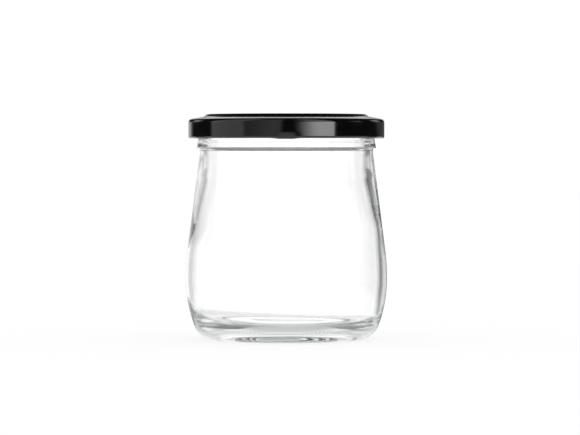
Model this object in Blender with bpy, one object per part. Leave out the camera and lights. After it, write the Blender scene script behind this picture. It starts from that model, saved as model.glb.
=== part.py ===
"""An empty jam jar: a turned clear-glass body, narrow at the neck and round at the belly, shut by a black lug cap.

Everything is turned about +Z. The origin is the centre of the flat ring that the jar stands on.
"""

import math

import bmesh
import bpy

MM = 0.001
SEGMENTS = 60
FRONT = math.radians(-90.0)

# Outside of the glass, from the foot up
FOOT_INNER_RADIUS = 25.5 * MM
HEEL_BEND = 8.4 * MM
LOWER_BELLY_BEND = 51.2 * MM
BELLY_RADIUS = 38.0 * MM
BELLY_HEIGHT = 23.0 * MM
UPPER_BELLY_BEND = 84.0 * MM
CONE_TILT = math.radians(7.3)
NECK_BEND = 12.0 * MM
NECK_RADIUS = 32.65 * MM
BEAD_HEIGHT = 72.6 * MM
BEAD_RADIUS = 33.8 * MM
BEAD_BEND = 0.95 * MM
FINISH_RADIUS = 33.1 * MM
RIM_HEIGHT = 82.15 * MM
RIM_OUTER_BEND = 1.1 * MM
RIM_INNER_BEND = 0.9 * MM

# The hollow under the foot
PUSH_UP_EDGE_RADIUS = 22.8 * MM
PUSH_UP_EDGE_HEIGHT = 1.9 * MM
PUSH_UP_CENTRE_HEIGHT = 2.7 * MM

# Inside of the glass, from the mouth down
MOUTH_RADIUS = 30.2 * MM
INNER_NECK_BEND = 15.0 * MM
INNER_CONE_TILT = math.radians(12.5)
INNER_UPPER_BEND = 95.0 * MM
INNER_BELLY_RADIUS = 36.2 * MM
INNER_BELLY_HEIGHT = 23.0 * MM
INNER_LOWER_BEND = 48.0 * MM
INNER_HEEL_BEND = 9.0 * MM
FLOOR_EDGE_HEIGHT = 4.9 * MM
FLOOR_CENTRE_HEIGHT = 5.9 * MM

# Ribs round the mouth that the cap's lugs hook under
LUG_COUNT = 6
RIB_REACH = 1.35 * MM
RIB_HALF_WIDTH = 0.95 * MM
RIB_MIDDLE_HEIGHT = 79.35 * MM
RIB_CLIMB = 1.4 * MM
RIB_HALF_SPAN = math.radians(19.0)
RIB_RUN_OUT = math.radians(6.0)
RIB_SHIFT = math.radians(9.0)
RIB_ROWS = 6

# The cap, measured up from the bottom of its rolled edge
CAP_SEAT_HEIGHT = 75.8 * MM
CAP_RADIUS = 37.0 * MM
SHEET = 0.45 * MM
ROLL_RADIUS = 0.8 * MM
SHOULDER_BEND = 1.7 * MM
SHOULDER_HEIGHT = 7.6 * MM
STEP_RADIUS = 31.3 * MM
STEP_TILT = math.radians(10.0)
STEP_FOOT_BEND = 0.5 * MM
CREST_HEIGHT = 9.4 * MM
CREST_BEND = 0.7 * MM
PANEL_RADIUS = 28.9 * MM
PANEL_HEIGHT = 8.85 * MM
BUTTON_RADIUS = 13.5 * MM
BUTTON_EDGE_WIDTH = 1.4 * MM
BUTTON_RISE = 0.3 * MM
BUTTON_DOME = 0.15 * MM

# The ring of sealing compound under the cap's shoulder
SEAL_HEIGHT = 6.65 * MM
SEAL_INNER_RADIUS = 30.4 * MM
SEAL_OUTER_RADIUS = 34.0 * MM
SEAL_EDGE = 0.4 * MM

# Lugs pressed inwards out of the cap's rolled edge
LUG_HALF_SPAN = math.radians(9.5)
LUG_REACH = 1.4 * MM
LUG_DIMPLE = 0.2 * MM
LUG_DROP = 0.35 * MM
SKIRT_MIDDLE_HEIGHT = 3.8 * MM


def arc(centre_r, centre_z, bend, start, end, steps):
    """Points of a round stretch of a profile, both ends included. Angles are in degrees from +R towards +Z."""
    angles = [math.radians(start + (end - start) * i / steps) for i in range(steps + 1)]
    return [(centre_r + bend * math.cos(a), centre_z + bend * math.sin(a)) for a in angles]


def ease(value):
    """A smooth climb from 0 to 1 as value goes from 0 to 1."""
    value = min(max(value, 0.0), 1.0)
    return value * value * (3.0 - 2.0 * value)


def upper_wall(belly_radius, belly_height, belly_bend, tilt, neck_bend, neck_radius):
    """A wall from its widest ring up: round, then a straight cone, then round the other way to upright at the neck."""
    degrees = math.degrees(tilt)
    belly = arc(belly_radius - belly_bend, belly_height, belly_bend, 0.0, degrees, 4)
    cone_end_radius = neck_radius + neck_bend * (1.0 - math.cos(tilt))
    cone_rise = (belly[-1][0] - cone_end_radius) / math.tan(tilt)
    neck_height = belly[-1][1] + cone_rise + neck_bend * math.sin(tilt)
    neck = arc(neck_radius + neck_bend, neck_height, neck_bend, 180.0 + degrees, 180.0, 3)
    cone = [
        tuple(low + (high - low) * share for low, high in zip(belly[-1], neck[0]))
        for share in (0.25, 0.5, 0.75)
    ]
    return belly + cone + neck


def lower_wall(belly_radius, belly_height, belly_bend, heel_bend, base_height):
    """A heel that leaves the height base_height level and flows into the belly, up to just short of its widest ring."""
    belly_centre = belly_radius - belly_bend
    reach = belly_bend - heel_bend
    drop = belly_height - base_height - heel_bend
    heel_centre = belly_centre + math.sqrt(reach**2 - drop**2)
    join = -math.degrees(math.asin(drop / reach))
    heel = arc(heel_centre, base_height + heel_bend, heel_bend, -90.0, join, 6)
    belly = arc(belly_centre, belly_height, belly_bend, join, 0.0, 4)
    return heel + belly[1:-1]


def glass_outside():
    """From the middle of the hollow under the foot, out and up to the top of the rim."""
    push_up = [
        (0.0, PUSH_UP_CENTRE_HEIGHT),
        (0.55 * PUSH_UP_EDGE_RADIUS, 0.93 * PUSH_UP_CENTRE_HEIGHT),
        (0.92 * PUSH_UP_EDGE_RADIUS, 0.80 * PUSH_UP_CENTRE_HEIGHT),
        (PUSH_UP_EDGE_RADIUS, PUSH_UP_EDGE_HEIGHT),
        (0.5 * (PUSH_UP_EDGE_RADIUS + FOOT_INNER_RADIUS), 0.4 * PUSH_UP_EDGE_HEIGHT),
        (FOOT_INNER_RADIUS, 0.0),
    ]
    heel = lower_wall(BELLY_RADIUS, BELLY_HEIGHT, LOWER_BELLY_BEND, HEEL_BEND, 0.0)
    side = upper_wall(BELLY_RADIUS, BELLY_HEIGHT, UPPER_BELLY_BEND, CONE_TILT, NECK_BEND, NECK_RADIUS)
    bead_centre = BEAD_RADIUS - BEAD_BEND
    bead_low = -math.degrees(math.acos((NECK_RADIUS - bead_centre) / BEAD_BEND))
    bead_high = math.degrees(math.acos((FINISH_RADIUS - bead_centre) / BEAD_BEND))
    bead = arc(bead_centre, BEAD_HEIGHT, BEAD_BEND, bead_low, bead_high, 5)
    rib_reach = 0.5 * RIB_CLIMB + RIB_HALF_WIDTH
    finish = [
        (FINISH_RADIUS, RIB_MIDDLE_HEIGHT + rib_reach * (2.0 * row / RIB_ROWS - 1.0))
        for row in range(RIB_ROWS)
    ]
    rim = arc(FINISH_RADIUS - RIM_OUTER_BEND, RIM_HEIGHT - RIM_OUTER_BEND, RIM_OUTER_BEND, 0.0, 90.0, 3)
    return push_up + heel + side + bead + finish + rim


def glass_inside():
    """From the top of the rim down the inside to the middle of the floor."""
    rim = arc(MOUTH_RADIUS + RIM_INNER_BEND, RIM_HEIGHT - RIM_INNER_BEND, RIM_INNER_BEND, 90.0, 180.0, 2)
    side = upper_wall(
        INNER_BELLY_RADIUS,
        INNER_BELLY_HEIGHT,
        INNER_UPPER_BEND,
        INNER_CONE_TILT,
        INNER_NECK_BEND,
        MOUTH_RADIUS,
    )
    heel = lower_wall(
        INNER_BELLY_RADIUS,
        INNER_BELLY_HEIGHT,
        INNER_LOWER_BEND,
        INNER_HEEL_BEND,
        FLOOR_EDGE_HEIGHT,
    )
    floor_rise = FLOOR_CENTRE_HEIGHT - FLOOR_EDGE_HEIGHT
    floor = [(0.6 * heel[0][0], FLOOR_EDGE_HEIGHT + 0.65 * floor_rise), (0.0, FLOOR_CENTRE_HEIGHT)]
    return rim + side[::-1] + heel[::-1] + floor


def cap_underside():
    """From the middle of the underside, out round the seal and down to the inner side of the rolled edge."""
    under_panel = PANEL_HEIGHT - SHEET
    under_crest = CREST_HEIGHT - SHEET - 0.15 * MM
    skirt_inside = CAP_RADIUS - SHEET
    roll_centre = CAP_RADIUS - ROLL_RADIUS
    roll_top = math.degrees(math.acos((skirt_inside - roll_centre) / ROLL_RADIUS))
    return [
        (0.0, under_panel + BUTTON_RISE + BUTTON_DOME),
        (BUTTON_RADIUS - BUTTON_EDGE_WIDTH, under_panel + BUTTON_RISE),
        (BUTTON_RADIUS, under_panel),
        (PANEL_RADIUS, under_panel),
        (PANEL_RADIUS + 1.0 * MM, under_crest),
        (SEAL_INNER_RADIUS, under_crest),
        (SEAL_INNER_RADIUS, SEAL_HEIGHT + SEAL_EDGE),
        (SEAL_INNER_RADIUS + SEAL_EDGE, SEAL_HEIGHT),
        (SEAL_OUTER_RADIUS - SEAL_EDGE, SEAL_HEIGHT),
        (SEAL_OUTER_RADIUS, SEAL_HEIGHT + SEAL_EDGE),
        (skirt_inside, SHOULDER_HEIGHT - SHOULDER_BEND),
    ] + arc(roll_centre, ROLL_RADIUS, ROLL_RADIUS, roll_top, 180.0, 2)


def cap_outside():
    """From the inner side of the rolled edge, under it, up the skirt and over the top to the middle."""
    roll = arc(CAP_RADIUS - ROLL_RADIUS, ROLL_RADIUS, ROLL_RADIUS, 180.0, 360.0, 6)[1:]
    skirt = [(CAP_RADIUS, SKIRT_MIDDLE_HEIGHT)]
    shoulder = arc(
        CAP_RADIUS - SHOULDER_BEND, SHOULDER_HEIGHT - SHOULDER_BEND, SHOULDER_BEND, 0.0, 90.0, 4
    )
    tilt = math.degrees(STEP_TILT)
    foot_centre = STEP_RADIUS + STEP_FOOT_BEND * math.cos(STEP_TILT)
    foot = arc(foot_centre, SHOULDER_HEIGHT + STEP_FOOT_BEND, STEP_FOOT_BEND, -90.0, tilt - 180.0, 3)
    wall_end = CREST_HEIGHT - CREST_BEND * (1.0 - math.sin(STEP_TILT))
    lean = (wall_end - foot[-1][1]) * math.tan(STEP_TILT)
    crest_centre = STEP_RADIUS - lean - CREST_BEND * math.cos(STEP_TILT)
    crest = arc(crest_centre, CREST_HEIGHT - CREST_BEND, CREST_BEND, tilt, 130.0, 4)
    panel = [(PANEL_RADIUS, PANEL_HEIGHT), (BUTTON_RADIUS, PANEL_HEIGHT)]
    button = [
        (BUTTON_RADIUS - BUTTON_EDGE_WIDTH, PANEL_HEIGHT + BUTTON_RISE),
        (0.5 * BUTTON_RADIUS, PANEL_HEIGHT + BUTTON_RISE + 0.7 * BUTTON_DOME),
        (0.0, PANEL_HEIGHT + BUTTON_RISE + BUTTON_DOME),
    ]
    return roll + skirt + shoulder + foot + crest + panel + button


def from_nearest(angle, shift):
    """The angle from the middle of the nearest of the evenly spaced lugs, whose first one is shift from the front."""
    pitch = 2.0 * math.pi / LUG_COUNT
    return (angle - FRONT - shift + 0.5 * pitch) % pitch - 0.5 * pitch


def raise_ribs(radius, angle, height):
    """How far out and up a point of the glass moves: out on the outer side of the finish, where a rib runs."""
    if radius < FINISH_RADIUS - 0.01 * MM:
        return 0.0, 0.0
    place = from_nearest(angle, RIB_SHIFT)
    middle = RIB_MIDDLE_HEIGHT + 0.5 * RIB_CLIMB * place / RIB_HALF_SPAN
    across = abs(height - middle) / RIB_HALF_WIDTH
    along = ease((RIB_HALF_SPAN - abs(place)) / RIB_RUN_OUT)
    return RIB_REACH * along * ease(1.5 * (1.0 - across)), 0.0


def press_lugs(radius, angle, height):
    """How far out and up a point of the cap moves: in and down on the rolled edge, where a lug is."""
    if height > 2.0 * ROLL_RADIUS:
        return 0.0, 0.0
    share = ease(1.5 * (1.0 - abs(from_nearest(angle, 0.0)) / LUG_HALF_SPAN))
    depth = ease((CAP_RADIUS - radius) / (2.0 * ROLL_RADIUS))
    drop = LUG_DROP * (1.0 - height / (2.0 * ROLL_RADIUS))
    return -share * (LUG_DIMPLE + (LUG_REACH - LUG_DIMPLE) * depth), -share * drop


def turned(name, profile, shift):
    """A closed mesh turned from a profile that starts and ends on the axis, with shift(radius, angle, height) added."""
    mesh = bpy.data.meshes.new(name)
    shape = bmesh.new()
    points = [shape.verts.new((radius, 0.0, height)) for radius, height in profile]
    edges = [shape.edges.new(pair) for pair in zip(points, points[1:])]
    bmesh.ops.spin(
        shape,
        geom=points + edges,
        cent=(0.0, 0.0, 0.0),
        axis=(0.0, 0.0, 1.0),
        angle=2.0 * math.pi,
        steps=SEGMENTS,
        use_merge=True,
    )
    bmesh.ops.remove_doubles(shape, verts=shape.verts, dist=0.001 * MM)
    bmesh.ops.recalc_face_normals(shape, faces=shape.faces)
    for vertex in shape.verts:
        radius = math.hypot(vertex.co.x, vertex.co.y)
        if radius > MM:
            out, up = shift(radius, math.atan2(vertex.co.y, vertex.co.x), vertex.co.z)
            vertex.co.x *= 1.0 + out / radius
            vertex.co.y *= 1.0 + out / radius
            vertex.co.z += up
    shape.to_mesh(mesh)
    shape.free()
    mesh.shade_smooth()
    mesh.set_sharp_from_angle(angle=math.radians(40.0))
    return mesh


def clear_glass():
    """Clear soda-lime glass."""
    material = bpy.data.materials.new("clear_glass")
    material.use_nodes = True
    shader = material.node_tree.nodes["Principled BSDF"]
    shader.inputs["Base Color"].default_value = (0.97, 0.99, 0.98, 1.0)
    shader.inputs["Roughness"].default_value = 0.02
    shader.inputs["IOR"].default_value = 1.52
    shader.inputs["Transmission Weight"].default_value = 1.0
    material.diffuse_color = (0.85, 0.90, 0.89, 0.4)
    return material


def black_lacquer():
    """Glossy black lacquer baked onto tinplate."""
    material = bpy.data.materials.new("black_lacquer")
    material.use_nodes = True
    shader = material.node_tree.nodes["Principled BSDF"]
    shader.inputs["Base Color"].default_value = (0.012, 0.012, 0.013, 1.0)
    shader.inputs["Roughness"].default_value = 0.14
    shader.inputs["Metallic"].default_value = 0.0
    material.diffuse_color = (0.02, 0.02, 0.02, 1.0)
    return material


def add_piece(name, mesh, material, height, parent):
    """Puts a piece in the scene at its height on the jar's axis."""
    mesh.materials.append(material)
    piece = bpy.data.objects.new(name, mesh)
    piece.location = (0.0, 0.0, height)
    piece.parent = parent
    bpy.context.scene.collection.objects.link(piece)


def build():
    """Clears the scene and makes the glass and the cap that sits on it."""
    for item in list(bpy.data.objects):
        bpy.data.objects.remove(item)
    jar = bpy.data.objects.new("jam_jar", None)
    bpy.context.scene.collection.objects.link(jar)
    glass = turned("jar_glass", glass_outside() + glass_inside(), raise_ribs)
    add_piece("jar_glass", glass, clear_glass(), 0.0, jar)
    cap = turned("lid", cap_underside() + cap_outside(), press_lugs)
    add_piece("lid", cap, black_lacquer(), CAP_SEAT_HEIGHT, jar)


build()
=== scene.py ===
"""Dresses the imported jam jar: clear glass, shut by a glossy black lug cap, in a white studio.

Every piece is turned about +Z in the frame's own metres, so it stands where its solid stands.
"""

import logging
import math
from collections.abc import Callable
from dataclasses import dataclass, field
from enum import Enum

import bmesh
import bpy
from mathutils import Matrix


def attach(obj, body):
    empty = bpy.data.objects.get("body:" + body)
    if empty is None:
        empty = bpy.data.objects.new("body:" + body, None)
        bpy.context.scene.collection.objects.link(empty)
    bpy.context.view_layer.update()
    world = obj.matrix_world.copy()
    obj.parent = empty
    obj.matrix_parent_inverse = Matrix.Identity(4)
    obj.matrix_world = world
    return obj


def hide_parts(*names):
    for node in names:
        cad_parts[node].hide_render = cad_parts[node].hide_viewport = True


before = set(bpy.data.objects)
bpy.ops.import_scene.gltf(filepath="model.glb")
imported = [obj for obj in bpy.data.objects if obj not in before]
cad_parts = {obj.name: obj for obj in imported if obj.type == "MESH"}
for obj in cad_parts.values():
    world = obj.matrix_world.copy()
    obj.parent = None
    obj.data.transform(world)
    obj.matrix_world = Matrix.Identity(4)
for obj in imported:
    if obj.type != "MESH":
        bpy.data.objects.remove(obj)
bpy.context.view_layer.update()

MM = 0.001
FULL_TURN = 2.0 * math.pi
FRONT = math.radians(-90.0)
SAME_PLACE = 0.001 * MM
MERGE_GAP = 0.002 * MM
ROUNDING = 1e-4
LIGHT_CROSSINGS = 40
ARC_STEPS, RAMP_STEPS, SWELL_STEPS = 2, 8, 6
MIX_FIRST, MIX_SECOND, MIX_RESULT = 6, 7, 2
LOG = logging.getLogger("jam_jar")

Point = tuple[float, float]
Colour = tuple[float, float, float]
Waves = tuple[float, float, float]
Fade = tuple[float, float]
Band = tuple[float, float, float]
Pace = Callable[[float], float]

CREST: Fade = (1.0, 0.333)
POLE_FADE: Fade = (0.1 * MM, 2.0 * MM)


class Face(Enum):
    """The face of a wall that a point of a half section lies on, as the number stored there."""

    INNER = 0.0
    OUTER = 1.0


class Pattern(Enum):
    """The seeded patterns of the glass, as the number added to the seed."""

    RIPPLE = 2.0
    FLOOR_DIP = 5.0
    LEDGE_STREAK = 7.0


class Field:
    """A number that a node tree works out place by place, with ordinary arithmetic.

    Attributes:
        tree: The node tree that works it out.
        socket: The output socket that carries it.
    """

    def __init__(self, tree: bpy.types.NodeTree, socket: bpy.types.NodeSocket) -> None:
        """Keeps the tree and the socket.

        Args:
            tree: The node tree that works the number out.
            socket: The output socket that carries it.
        """
        self.tree = tree
        self.socket = socket

    def feed(self, socket: bpy.types.NodeSocket) -> None:
        """Joins this number to an input socket."""
        self.tree.links.new(self.socket, socket)

    def math(self, operation: str, *others: "Field | float") -> "Field":
        """Adds a Math node.

        Args:
            operation: The node's operation, as Blender spells it.
            *others: The second and third numbers, where the operation takes them.

        Returns:
            The node's result.
        """
        node = self.tree.nodes.new("ShaderNodeMath")
        node.operation = operation
        self.feed(node.inputs[0])
        for place, other in enumerate(others, start=1):
            if isinstance(other, Field):
                other.feed(node.inputs[place])
            else:
                node.inputs[place].default_value = other
        return Field(self.tree, node.outputs[0])

    def __add__(self, other: "Field | float") -> "Field":
        """Adds a number."""
        return self.math("ADD", other)

    def __sub__(self, other: "Field | float") -> "Field":
        """Takes a number away."""
        return self.math("SUBTRACT", other)

    def __mul__(self, other: "Field | float") -> "Field":
        """Multiplies by a number."""
        return self.math("MULTIPLY", other)

    def __truediv__(self, other: "Field | float") -> "Field":
        """Divides by a number."""
        return self.math("DIVIDE", other)

    def size(self) -> "Field":
        """The number without its sign."""
        return self.math("ABSOLUTE")

    def less_from_one(self) -> "Field":
        """One less the number."""
        return self.math("MULTIPLY_ADD", -1.0, 1.0)

    def climb(self, start: "Field | float", end: "Field | float") -> "Field":
        """A smooth climb from 0 at start to 1 at end, in either direction.

        Args:
            start: Where the climb leaves 0.
            end: Where the climb reaches 1.

        Returns:
            A number from 0 to 1.
        """
        node = self.tree.nodes.new("ShaderNodeMapRange")
        node.interpolation_type = "SMOOTHSTEP"
        self.feed(node.inputs[0])
        for place, value in ((1, start), (2, end)):
            if isinstance(value, Field):
                value.feed(node.inputs[place])
            else:
                node.inputs[place].default_value = value
        return Field(self.tree, node.outputs[0])

    def between(self, low: float, high: float, soft: float) -> "Field":
        """A band that is 1 from low to high and fades to 0 over soft on each side.

        Args:
            low: The lower edge, in the middle of its fade.
            high: The upper edge, in the middle of its fade.
            soft: How wide each fade is.

        Returns:
            A number from 0 to 1.
        """
        half = 0.5 * soft
        return self.climb(low - half, low + half) * self.climb(high + half, high - half)

    def hump(self, rising: Fade, falling: Fade) -> "Field":
        """A smooth climb from 0 to 1 over one fade, and back to 0 over another."""
        return self.climb(*rising) * self.climb(*falling)


def noise(
    tree: bpy.types.NodeTree,
    place: bpy.types.NodeSocket,
    waves: Waves,
    seed: "Field | float",
    detail: float,
) -> Field:
    """Adds a cloudy pattern in space.

    Args:
        tree: The node tree that it is for.
        place: The vector that says where the pattern is read.
        waves: Waves per metre along each axis.
        seed: Picks one pattern of the many.
        detail: How many finer patterns lie on the first.

    Returns:
        A number from about -1 to 1.
    """
    stretch = tree.nodes.new("ShaderNodeVectorMath")
    stretch.operation = "MULTIPLY"
    tree.links.new(place, stretch.inputs[0])
    stretch.inputs[1].default_value = waves
    node = tree.nodes.new("ShaderNodeTexNoise")
    node.noise_dimensions = "4D"
    node.inputs["Scale"].default_value = 1.0
    node.inputs["Detail"].default_value = detail
    tree.links.new(stretch.outputs[0], node.inputs["Vector"])
    if isinstance(seed, Field):
        seed.feed(node.inputs["W"])
    else:
        node.inputs["W"].default_value = seed
    return (Field(tree, node.outputs[0]) - 0.5) * 2.0


def even(share: float) -> float:
    """A pace that never changes."""
    return share


def gentle(share: float) -> float:
    """A pace that starts and ends softly."""
    return share * share * (3.0 - 2.0 * share)


@dataclass(frozen=True)
class Arc:
    """A round stretch of a half section.

    Attributes:
        centre: Radius and height of its centre.
        bend: Its own radius.
        start: Where it starts, in degrees from outwards towards upwards.
        end: Where it ends.
    """

    centre: Point
    bend: float
    start: float
    end: float

    def at(self, angle: float) -> Point:
        """The point on it at an angle, in degrees."""
        turn = math.radians(angle)
        return self.centre[0] + self.bend * math.cos(turn), self.centre[1] + self.bend * math.sin(turn)

    def back(self) -> "Arc":
        """The same arc, gone round the other way."""
        return Arc(self.centre, self.bend, self.end, self.start)


@dataclass
class HalfSection:
    """One half of a turned piece's section, walked point by point.

    Attributes:
        step: The longest gap between neighbouring points.
        bend_step: The largest turn between neighbouring points of an arc, in degrees.
        points: Radius and height of each point.
        faces: For each point, the face of the wall that it lies on.
    """

    step: float
    bend_step: float = 9.0
    points: list[Point] = field(default_factory=list)
    faces: list[Face] = field(default_factory=list)

    def add(self, point: Point, face: Face) -> None:
        """Adds a point, unless the last one is already there.

        Args:
            point: Its distance from the axis and its height.
            face: The face of the wall that it lies on.
        """
        if self.points and math.dist(self.points[-1], point) < SAME_PLACE:
            return
        self.points.append(point)
        self.faces.append(face)

    def _go(self, end: Point, face: Face, least: int, out: Pace, up: Pace) -> None:
        """Goes to a point, at one pace outwards and another upwards.

        Args:
            end: Radius and height where it ends.
            face: The face of the wall that it runs along.
            least: The fewest steps that it takes.
            out: The pace outwards.
            up: The pace upwards.
        """
        start = self.points[-1]
        count = max(least, math.ceil(math.dist(start, end) / self.step))
        for number in range(1, count + 1):
            reach, climb = out(number / count), up(number / count)
            self.add((start[0] + (end[0] - start[0]) * reach, start[1] + (end[1] - start[1]) * climb), face)

    def line(self, end: Point, face: Face) -> None:
        """Goes straight on to a point, along a face of the wall."""
        self._go(end, face, 1, even, even)

    def ramp(self, end: Point, face: Face) -> None:
        """Goes to another height in a soft S that leaves and arrives level."""
        self._go(end, face, RAMP_STEPS, even, gentle)

    def swell(self, end: Point, face: Face) -> None:
        """Goes to another radius in a soft S that leaves and arrives upright."""
        self._go(end, face, SWELL_STEPS, gentle, even)

    def arc(self, shape: Arc, face: Face) -> None:
        """Goes straight to where an arc starts, then round it.

        Args:
            shape: The arc.
            face: The face of the wall that it runs along.
        """
        if self.points:
            self.line(shape.at(shape.start), face)
        turned = shape.end - shape.start
        length = math.radians(abs(turned)) * shape.bend
        count = max(ARC_STEPS, math.ceil(length / self.step), math.ceil(abs(turned) / self.bend_step))
        for number in range(count + 1):
            self.add(shape.at(shape.start + turned * number / count), face)


class TurningTree:
    """A Geometry Nodes tree that turns a half section round +Z, with rules that move its points out and up.

    The object that wears it holds the half section as a string of points in the XZ plane.

    Attributes:
        tree: The node group.
        sizes: The named sizes, as the values that the modifier is given.
        turn: The angle of each point round the axis, from +X.
        radius: The distance of each point from the axis, before the rules.
        height: The height of each point, before the rules.
        outer: 1 on the outer face of the wall and 0 on the inner.
        place: Where each point lies before the rules, as a vector socket.
        start: The node that hands in the half section and the sizes.
        grid: The node that lays the grid, before its points are moved.
    """

    def __init__(self, name: str, segments: int, sizes: dict[str, float]) -> None:
        """Makes the group's sockets and the nodes that lay the turned grid.

        Args:
            name: The group's name.
            segments: Steps round the full turn.
            sizes: The named inputs, with their values.
        """
        self.sizes = {"Segments": segments, **sizes}
        self.tree = bpy.data.node_groups.new(name, "GeometryNodeTree")
        face = self.tree.interface
        face.new_socket("Half section", in_out="INPUT", socket_type="NodeSocketGeometry")
        face.new_socket("Segments", in_out="INPUT", socket_type="NodeSocketInt")
        for label in sizes:
            face.new_socket(label, in_out="INPUT", socket_type="NodeSocketFloat")
        face.new_socket("Piece", in_out="OUTPUT", socket_type="NodeSocketGeometry")
        self.start = self.tree.nodes.new("NodeGroupInput")
        self._lay_grid()

    def input(self, label: str) -> Field:
        """The named size as a number."""
        return Field(self.tree, self.start.outputs[label])

    def _sampled(self, kind: str, value: bpy.types.NodeSocket, index: Field) -> bpy.types.NodeSocket:
        """Reads a value of the half section's point of that number.

        Args:
            kind: The value's data type.
            value: The value on the half section.
            index: Which point it is read from.

        Returns:
            The value read.
        """
        node = self.tree.nodes.new("GeometryNodeSampleIndex")
        node.data_type = kind
        self.tree.links.new(self.start.outputs["Half section"], node.inputs["Geometry"])
        self.tree.links.new(value, node.inputs["Value"])
        index.feed(node.inputs["Index"])
        return node.outputs["Value"]

    def _lay_grid(self) -> None:
        """Lays a grid with a column for each step of the turn and a row for each point of the section."""
        nodes, links = self.tree.nodes, self.tree.links
        count = nodes.new("GeometryNodeAttributeDomainSize")
        links.new(self.start.outputs["Half section"], count.inputs[0])
        rows = Field(self.tree, count.outputs["Point Count"])
        self.grid = nodes.new("GeometryNodeMeshGrid")
        (self.input("Segments") + 1.0).feed(self.grid.inputs["Vertices X"])
        rows.feed(self.grid.inputs["Vertices Y"])
        index = Field(self.tree, nodes.new("GeometryNodeInputIndex").outputs[0])
        column = (index / rows + ROUNDING).math("FLOOR")
        row = index - column * rows
        self.turn = column * FULL_TURN / self.input("Segments")
        point = self._sampled("FLOAT_VECTOR", nodes.new("GeometryNodeInputPosition").outputs[0], row)
        parts = nodes.new("ShaderNodeSeparateXYZ")
        links.new(point, parts.inputs[0])
        self.radius = Field(self.tree, parts.outputs["X"])
        self.height = Field(self.tree, parts.outputs["Z"])
        mark = nodes.new("GeometryNodeInputNamedAttribute")
        mark.inputs["Name"].default_value = "outer"
        self.outer = Field(self.tree, self._sampled("FLOAT", mark.outputs["Attribute"], row))
        self.place = self._round_axis(self.radius, self.height)

    def _round_axis(self, radius: Field, height: Field) -> bpy.types.NodeSocket:
        """The point at that radius and height, turned to its column's angle."""
        joined = self.tree.nodes.new("ShaderNodeCombineXYZ")
        (radius * self.turn.math("COSINE")).feed(joined.inputs["X"])
        (radius * self.turn.math("SINE")).feed(joined.inputs["Y"])
        height.feed(joined.inputs["Z"])
        return joined.outputs[0]

    def from_nearest(self, count: int, shift: float) -> Field:
        """The angle from the middle of the nearest of several evenly spaced features.

        Args:
            count: How many features there are round the full turn.
            shift: The angle of one of them, from the front.

        Returns:
            The angle, from minus to plus half of their spacing.
        """
        half = math.pi / count
        return (self.turn - (FRONT + shift)).math("WRAP", half, -half)

    def close(self, out: Field, up: Field, materials: dict[Face, bpy.types.Material]) -> None:
        """Moves the points by the rules, joins the seam and the poles, and gives each face its material.

        Args:
            out: How far each point moves away from the axis.
            up: How far each point moves up.
            materials: The material of each face of the wall.
        """
        nodes, links = self.tree.nodes, self.tree.links
        off_axis = self.radius.climb(*POLE_FADE)
        moved = self._round_axis(self.radius + out * off_axis, self.height + up)
        position = nodes.new("GeometryNodeSetPosition")
        links.new(self.grid.outputs["Mesh"], position.inputs["Geometry"])
        links.new(moved, position.inputs["Position"])
        kept = nodes.new("GeometryNodeStoreNamedAttribute")
        kept.data_type = "FLOAT"
        kept.inputs["Name"].default_value = "outer"
        links.new(position.outputs[0], kept.inputs["Geometry"])
        self.outer.feed(kept.inputs["Value"])
        merge = nodes.new("GeometryNodeMergeByDistance")
        merge.inputs["Distance"].default_value = MERGE_GAP
        links.new(kept.outputs[0], merge.inputs["Geometry"])
        smooth = nodes.new("GeometryNodeSetShadeSmooth")
        links.new(merge.outputs[0], smooth.inputs["Geometry"])
        whole = nodes.new("GeometryNodeRealizeInstances")
        links.new(smooth.outputs[0], whole.inputs[0])
        last = whole.outputs[0]
        for side, material in materials.items():
            paint = nodes.new("GeometryNodeSetMaterial")
            paint.inputs["Material"].default_value = material
            if len(materials) > 1:
                wall = nodes.new("GeometryNodeInputNamedAttribute")
                wall.inputs["Name"].default_value = "outer"
                there = Field(self.tree, wall.outputs["Attribute"]).math(
                    "GREATER_THAN" if side is Face.OUTER else "LESS_THAN", 0.5
                )
                there.feed(paint.inputs["Selection"])
            links.new(last, paint.inputs["Geometry"])
            last = paint.outputs[0]
        end = nodes.new("NodeGroupOutput")
        links.new(last, end.inputs["Piece"])

    def turn_piece(self, name: str, section: HalfSection) -> bpy.types.Object:
        """Runs the tree on a half section and keeps the result as a plain mesh.

        Args:
            name: The piece's name.
            section: The half section to turn.

        Returns:
            The piece, at the origin, with its faces pointing out.
        """
        string = bpy.data.meshes.new(name + "_section")
        points = [(radius, 0.0, height) for radius, height in section.points]
        string.from_pydata(points, [(n, n + 1) for n in range(len(points) - 1)], [])
        mark = string.attributes.new("outer", "FLOAT", "POINT")
        mark.data.foreach_set("value", [side.value for side in section.faces])
        holder = bpy.data.objects.new(name + "_section", string)
        bpy.context.scene.collection.objects.link(holder)
        modifier = holder.modifiers.new("turn", "NODES")
        modifier.node_group = self.tree
        for socket in self.tree.interface.items_tree:
            if socket.in_out == "INPUT" and socket.name in self.sizes:
                modifier[socket.identifier] = self.sizes[socket.name]
        depsgraph = bpy.context.evaluated_depsgraph_get()
        mesh = bpy.data.meshes.new_from_object(holder.evaluated_get(depsgraph), depsgraph=depsgraph)
        mesh.name = name
        holder.modifiers.clear()
        bpy.data.objects.remove(holder)
        bpy.data.meshes.remove(string)
        face_outwards(mesh)
        piece = bpy.data.objects.new(name, mesh)
        bpy.context.scene.collection.objects.link(piece)
        return piece


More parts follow.
